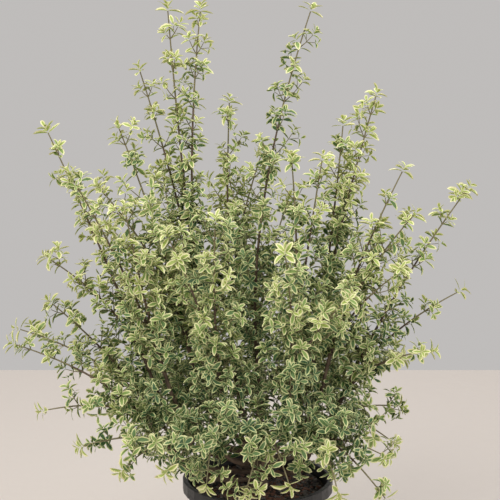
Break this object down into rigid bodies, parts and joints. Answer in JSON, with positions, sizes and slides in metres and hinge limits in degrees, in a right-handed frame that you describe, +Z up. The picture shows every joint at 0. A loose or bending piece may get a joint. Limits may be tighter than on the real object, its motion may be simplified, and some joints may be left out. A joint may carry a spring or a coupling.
{
  "type": "variegated Australian mint bush in a nursery pot",
  "caption": "Open, upright, many-stemmed mint bush with small cream-edged leaves, in a round black nursery pot.",
  "frame": {"origin": "centre of the pot's flat underside, at floor level", "axes": "+Z up the plant; the picture's view looks along +Y, with +X to its right"},
  "size_m": [0.6436, 0.4245, 0.8501],
  "materials": {
    "pot": "matte moulded plastic",
    "potting_mix": "damp composted bark",
    "bark": "thin brown bark",
    "foliage": "green leaves with cream edges"
  },
  "bodies": {
    "root": {"bough_back": "bark", "bough_back_left": "bark", "bough_back_right": "bark", "bough_centre": "bark", "bough_centre_right": "bark", "bough_front_left": "bark", "bough_front_right": "bark", "bough_left_inner": "bark", "bough_left_second": "bark", "bough_left_tall": "bark", "bough_low_left": "bark", "bough_low_left_front": "bark", "bough_low_right": "bark", "bough_mid_left": "bark", "bough_mid_right": "bark", "bough_right": "bark", "bough_right_inner": "bark", "bough_skirt_back": "bark", "bough_skirt_back_left": "bark", "bough_skirt_back_right": "bark", "bough_skirt_front": "bark", "bough_skirt_front_left": "bark", "bough_skirt_left": "bark", "bough_skirt_right": "bark", "bough_spire": "bark", "foliage_back": "foliage", "foliage_back_left": "foliage", "foliage_back_right": "foliage", "foliage_centre": "foliage", "foliage_centre_right": "foliage", "foliage_front_left": "foliage", "foliage_front_right": "foliage", "foliage_left_inner": "foliage", "foliage_left_second": "foliage", "foliage_left_tall": "foliage", "foliage_low_left": "foliage", "foliage_low_left_front": "foliage", "foliage_low_right": "foliage", "foliage_mid_left": "foliage", "foliage_mid_right": "foliage", "foliage_right": "foliage", "foliage_right_inner": "foliage", "foliage_skirt_back": "foliage", "foliage_skirt_back_left": "foliage", "foliage_skirt_back_right": "foliage", "foliage_skirt_front": "foliage", "foliage_skirt_front_left": "foliage", "foliage_skirt_left": "foliage", "foliage_skirt_right": "foliage", "foliage_spire": "foliage", "pot": "pot", "potting_mix": "potting_mix", "trunk": "bark"}
  },
  "joints": []
}
